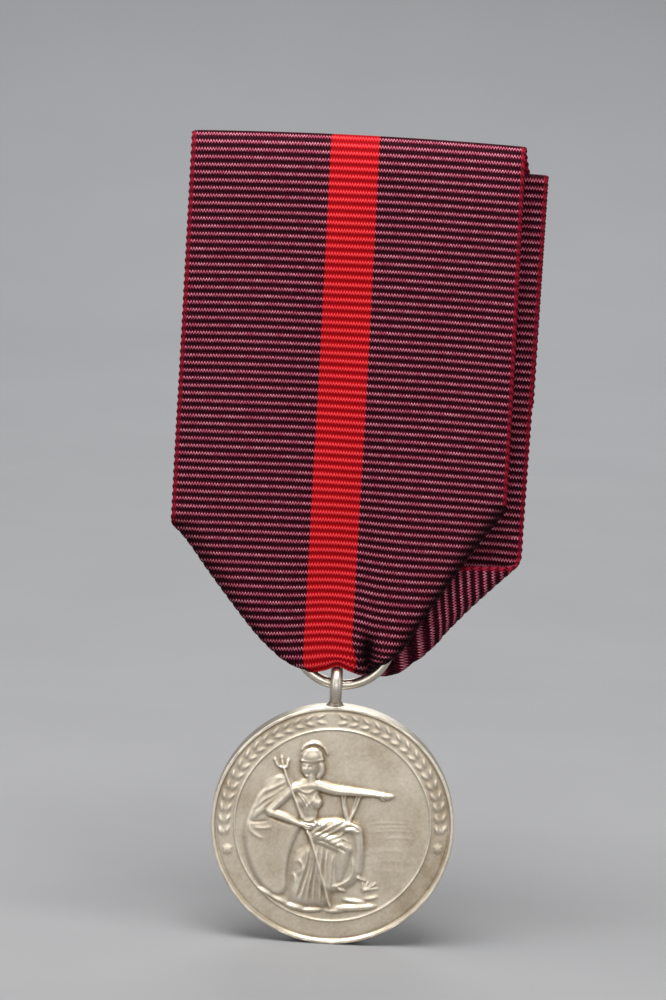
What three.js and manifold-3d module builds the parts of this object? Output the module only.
// A round service medal on its folded ribbon: struck disc, soldered suspension loop, jump ring and
// ribbon. Millimetres, +Z up, the front faces -Y. The origin is on top of the ribbon's upper fold,
// at the middle of its width, where a brooch bar carries the medal.
import * as THREE from 'three';
import { mergeVertices } from 'three/addons/utils/BufferGeometryUtils.js';
import Module from 'manifold-3d';

const wasm = await Module();
wasm.setup();

// Ribbon: one strip, folded over at the top, down to the ring, through it, and up behind.
const RIBBON_WIDTH = 38;
const CLOTH = 0.45; // one layer of the corded silk
const LAYER_GAP = 0.1; // air between two layers that lie on each other
const RING_ROOM = 0.75; // from the ring's middle plane to the nearest layer, front and back
const NECK_LEFT = -3.4; // the narrow end that goes through the ring
const NECK_RIGHT = 6.4;
const NECK_Z = -60.4;
const FRONT_CORNER_LEFT_Z = -45; // where the front leaf's edges start to turn in
const FRONT_CORNER_RIGHT_Z = -41.7;
const BACK_SHIFT = 2.4; // the back leaf lies this far to the right of the front one
const BACK_TOP_Z = -3.8;
const BACK_CORNER_Z = -47.6;
const FRONT_TAIL_END_Z = -42; // the tail of the front leaf, behind everything
const BACK_TAIL_END_Z = -30;
const BIGHT_HALF_WIDTH = 2; // the gathered cloth inside the ring, below the ring's middle

// Jump ring, parallel to the ribbon, pushed up between the leaves.
const RING_MIDDLE = new THREE.Vector3(1.35, 0, -57.35);
const RING_WIRE = 1.19;
const RING_OUTER = 12.5;

// Medal: the disc and its loop, turned a little in the ribbon's plane.
const MEDAL_TURN = THREE.MathUtils.degToRad(-3.25);
const DISC_DIAMETER = 28;
const DISC_THICKNESS = 2.6;
const RIM_LAND = 0.25; // flat top of the raised rim
const RIM_ROUND = 0.15;
const RIM_DEPTH = 0.32; // from the rim down to the band inside it
const LINE_RADIUS = 11.3; // thin raised circle between the band and the field
const LINE_WIDTH = 0.22;
const LINE_HEIGHT = 0.1;
const LOOP_WIRE = 1.4;
const LOOP_OUTER = 4.62;
const LOOP_OFFSET_X = 0.32; // the loop is soldered a little to the right of the disc's top
const LOOP_ABOVE_DISC = 16.4; // from the disc's middle to the loop's middle
const FOOT_TOP_RADIUS = 0.6;
const FOOT_BOTTOM_RADIUS = 0.95;
const FOOT_GAP = 0.3;

const DISC_SEGMENTS = 96;
const RING_SEGMENTS = 72;
const LOOP_SEGMENTS = 40;
const WIRE_SIDES = 16;
const FOLD_SEGMENTS = 10;

// Maps a shape's plane and its extrusion to the model: fromSide extrudes a Y-Z outline along +X,
// fromFront extrudes an X-Z outline along -Y.
const fromSide = new THREE.Matrix4().makeBasis(
  new THREE.Vector3(0, 1, 0), new THREE.Vector3(0, 0, 1), new THREE.Vector3(1, 0, 0));
const fromFront = new THREE.Matrix4().makeBasis(
  new THREE.Vector3(1, 0, 0), new THREE.Vector3(0, 0, 1), new THREE.Vector3(0, -1, 0));

function toSolid(geometry) {
  const bare = geometry.clone();
  bare.deleteAttribute('normal');
  bare.deleteAttribute('uv');
  const merged = mergeVertices(bare, 1e-5);
  return new wasm.Manifold(new wasm.Mesh({
    numProp: 3,
    vertProperties: merged.attributes.position.array,
    triVerts: new Uint32Array(merged.index.array),
  }));
}

function toGeometry(solid) {
  const mesh = solid.getMesh();
  const geometry = new THREE.BufferGeometry();
  geometry.setAttribute('position', new THREE.BufferAttribute(mesh.vertProperties, 3));
  geometry.setIndex(new THREE.BufferAttribute(mesh.triVerts, 1));
  geometry.computeVertexNormals();
  return geometry;
}

function extruded(shape, depth, basis, start) {
  const options = { depth, bevelEnabled: false, curveSegments: FOLD_SEGMENTS, steps: 1 };
  const geometry = new THREE.ExtrudeGeometry(shape, options);
  geometry.translate(0, 0, start);
  geometry.applyMatrix4(basis);
  return toSolid(geometry);
}

// A plate with the given X-Z outline, from nearY to farY.
function plate(outline, nearY, farY) {
  const shape = new THREE.Shape(outline.map(([x, z]) => new THREE.Vector2(x, z)));
  return extruded(shape, farY - nearY, fromFront, -farY);
}

// Two leaves joined by a round fold at their top: the Y-Z outline of the cloth, extruded to the
// ribbon's width. nearY and farY are the pair's outer faces.
function foldedPair({ nearY, farY, topZ, nearEndZ, farEndZ, leftX }) {
  const middleY = (nearY + farY) / 2;
  const outer = (farY - nearY) / 2;
  const inner = outer - CLOTH;
  const foldZ = topZ - outer;
  const shape = new THREE.Shape();
  shape.moveTo(nearY, nearEndZ);
  shape.lineTo(nearY, foldZ);
  shape.absarc(middleY, foldZ, outer, Math.PI, 0, true);
  shape.lineTo(farY, farEndZ);
  shape.lineTo(farY - CLOTH, farEndZ);
  shape.lineTo(farY - CLOTH, foldZ);
  shape.absarc(middleY, foldZ, inner, 0, Math.PI, false);
  shape.lineTo(nearY + CLOTH, nearEndZ);
  return extruded(shape, RIBBON_WIDTH, fromSide, leftX);
}

// The corner of a leaf turned in behind its slanted edge: the cut-off triangle, mirrored in that edge.
function turnedCorner(corner, neck) {
  const along = new THREE.Vector2(neck[0] - corner[0], neck[1] - corner[1]).normalize();
  const cut = new THREE.Vector2(0, neck[1] - corner[1]);
  const mirrored = along.clone().multiplyScalar(2 * cut.dot(along)).sub(cut);
  return [corner, neck, [corner[0] + mirrored.x, corner[1] + mirrored.y]];
}

// What a leaf keeps once its lower corners are turned in.
function pointedOutline(leftX, leftZ, rightZ) {
  const rightX = leftX + RIBBON_WIDTH;
  return [
    [leftX - 1, 1], [leftX - 1, leftZ], [leftX, leftZ],
    [NECK_LEFT, NECK_Z], [NECK_RIGHT, NECK_Z],
    [rightX, rightZ], [rightX + 1, rightZ], [rightX + 1, 1],
  ];
}

function corners(leftX, leftZ, rightZ) {
  return [
    turnedCorner([leftX, leftZ], [NECK_LEFT, NECK_Z]),
    turnedCorner([leftX + RIBBON_WIDTH, rightZ], [NECK_RIGHT, NECK_Z]),
  ];
}

function counterClockwise(outline) {
  const shape = outline.map(([x, z]) => new THREE.Vector2(x, z));
  return THREE.ShapeUtils.isClockWise(shape) ? [...outline].reverse() : outline;
}

function makeRibbon() {
  const frontX = -RIBBON_WIDTH / 2;
  const backX = frontX + BACK_SHIFT;
  const cornerRoom = RING_ROOM + CLOTH; // a leaf lies behind or in front of its turned-in corners
  const frontY = -cornerRoom - CLOTH;
  const backY = cornerRoom;
  const backPairY = backY + 2 * CLOTH + LAYER_GAP;
  const tailY = backPairY + LAYER_GAP + CLOTH;
  const bite = CLOTH / 4; // how far pieces of the one strip reach into each other

  const front = foldedPair({
    nearY: frontY, farY: tailY, topZ: 0,
    nearEndZ: NECK_Z - 2, farEndZ: FRONT_TAIL_END_Z, leftX: frontX,
  });
  const back = foldedPair({
    nearY: backY, farY: backPairY, topZ: BACK_TOP_Z,
    nearEndZ: NECK_Z - 2, farEndZ: BACK_TAIL_END_Z, leftX: backX,
  });
  const frontOutline = pointedOutline(frontX, FRONT_CORNER_LEFT_Z, FRONT_CORNER_RIGHT_Z);
  const backOutline = pointedOutline(backX, FRONT_CORNER_LEFT_Z, BACK_CORNER_Z);
  let ribbon = front.intersect(plate(counterClockwise(frontOutline), frontY - 1, tailY + 1));
  ribbon = ribbon.add(back.intersect(plate(counterClockwise(backOutline), frontY - 1, tailY + 1)));

  for (const corner of corners(frontX, FRONT_CORNER_LEFT_Z, FRONT_CORNER_RIGHT_Z)) {
    const kept = corner.map(([x, z]) => [x, Math.max(z, NECK_Z)]);
    ribbon = ribbon.add(plate(counterClockwise(kept), -cornerRoom - bite, -RING_ROOM));
  }
  for (const corner of corners(backX, FRONT_CORNER_LEFT_Z, BACK_CORNER_Z)) {
    ribbon = ribbon.add(plate(counterClockwise(corner), RING_ROOM, cornerRoom + bite));
  }
  const bight = [
    [RING_MIDDLE.x - BIGHT_HALF_WIDTH, NECK_Z], [RING_MIDDLE.x + BIGHT_HALF_WIDTH, NECK_Z],
    [RING_MIDDLE.x + BIGHT_HALF_WIDTH, NECK_Z + CLOTH], [RING_MIDDLE.x - BIGHT_HALF_WIDTH, NECK_Z + CLOTH],
  ];
  return toGeometry(ribbon.add(plate(bight, frontY, backY + CLOTH)));
}

// One face of the disc, from the rim's edge to the middle: rounded rim, band, thin circle, field.
function faceProfile() {
  const rim = DISC_DIAMETER / 2;
  const top = DISC_THICKNESS / 2;
  const band = top - RIM_DEPTH;
  return [
    [rim, top - RIM_ROUND],
    [rim - RIM_ROUND * 0.3, top - RIM_ROUND * 0.3],
    [rim - RIM_ROUND, top],
    [rim - RIM_ROUND - RIM_LAND, top],
    [rim - 2 * RIM_ROUND - RIM_LAND, band],
    [LINE_RADIUS + LINE_WIDTH, band],
    [LINE_RADIUS + LINE_WIDTH / 2, band + LINE_HEIGHT],
    [LINE_RADIUS - LINE_WIDTH / 2, band + LINE_HEIGHT],
    [LINE_RADIUS - LINE_WIDTH, band],
    [0, band],
  ];
}

function makeDisc() {
  const face = faceProfile();
  const front = [...face].reverse().map(([r, y]) => new THREE.Vector2(r, -y));
  const back = face.map(([r, y]) => new THREE.Vector2(r, y));
  return new THREE.LatheGeometry([...front, ...back], DISC_SEGMENTS);
}

// The loop stands edge-on to the front, with a soldered foot that flares towards the disc's edge.
function makeLoop() {
  const middle = (LOOP_OUTER - LOOP_WIRE) / 2;
  const loop = new THREE.TorusGeometry(middle, LOOP_WIRE / 2, WIRE_SIDES, LOOP_SEGMENTS);
  loop.rotateY(Math.PI / 2);
  const footBottom = DISC_DIAMETER / 2 + FOOT_GAP - LOOP_ABOVE_DISC;
  const footTop = -middle;
  const foot = new THREE.CylinderGeometry(
    FOOT_TOP_RADIUS, FOOT_BOTTOM_RADIUS, footTop - footBottom, WIRE_SIDES);
  foot.rotateX(Math.PI / 2);
  foot.translate(0, 0, (footTop + footBottom) / 2);
  return toGeometry(toSolid(loop).add(toSolid(foot)));
}

function makeRing() {
  const middle = (RING_OUTER - RING_WIRE) / 2;
  const ring = new THREE.TorusGeometry(middle, RING_WIRE / 2, WIRE_SIDES, RING_SEGMENTS);
  ring.rotateX(Math.PI / 2);
  return ring;
}

function named(name, geometry, color, roughness, metalness) {
  const material = new THREE.MeshStandardMaterial({ color, roughness, metalness });
  const mesh = new THREE.Mesh(geometry, material);
  mesh.name = name;
  return mesh;
}

const object = new THREE.Group();
object.add(named('ribbon', makeRibbon(), 0x3c0f22, 0.75, 0));

const ring = named('jump_ring', makeRing(), 0xb9b4a8, 0.32, 1);
ring.position.copy(RING_MIDDLE);
object.add(ring);

// The loop's middle lies on the ring's wire, below the ring's middle.
const medal = new THREE.Group();
const loopPlace = new THREE.Vector3(LOOP_OFFSET_X, 0, LOOP_ABOVE_DISC);
const ringRadius = (RING_OUTER - RING_WIRE) / 2;
medal.rotation.y = MEDAL_TURN;
const turnedLoop = loopPlace.clone().applyEuler(medal.rotation);
medal.position.set(
  RING_MIDDLE.x, 0, RING_MIDDLE.z - Math.sqrt(ringRadius ** 2 - turnedLoop.x ** 2) - turnedLoop.z);
medal.add(named('medal_disc', makeDisc(), 0xb8ae98, 0.38, 1));
const loop = named('suspension_loop', makeLoop(), 0xa9a496, 0.35, 1);
loop.position.copy(loopPlace);
medal.add(loop);
object.add(medal);

export default object;
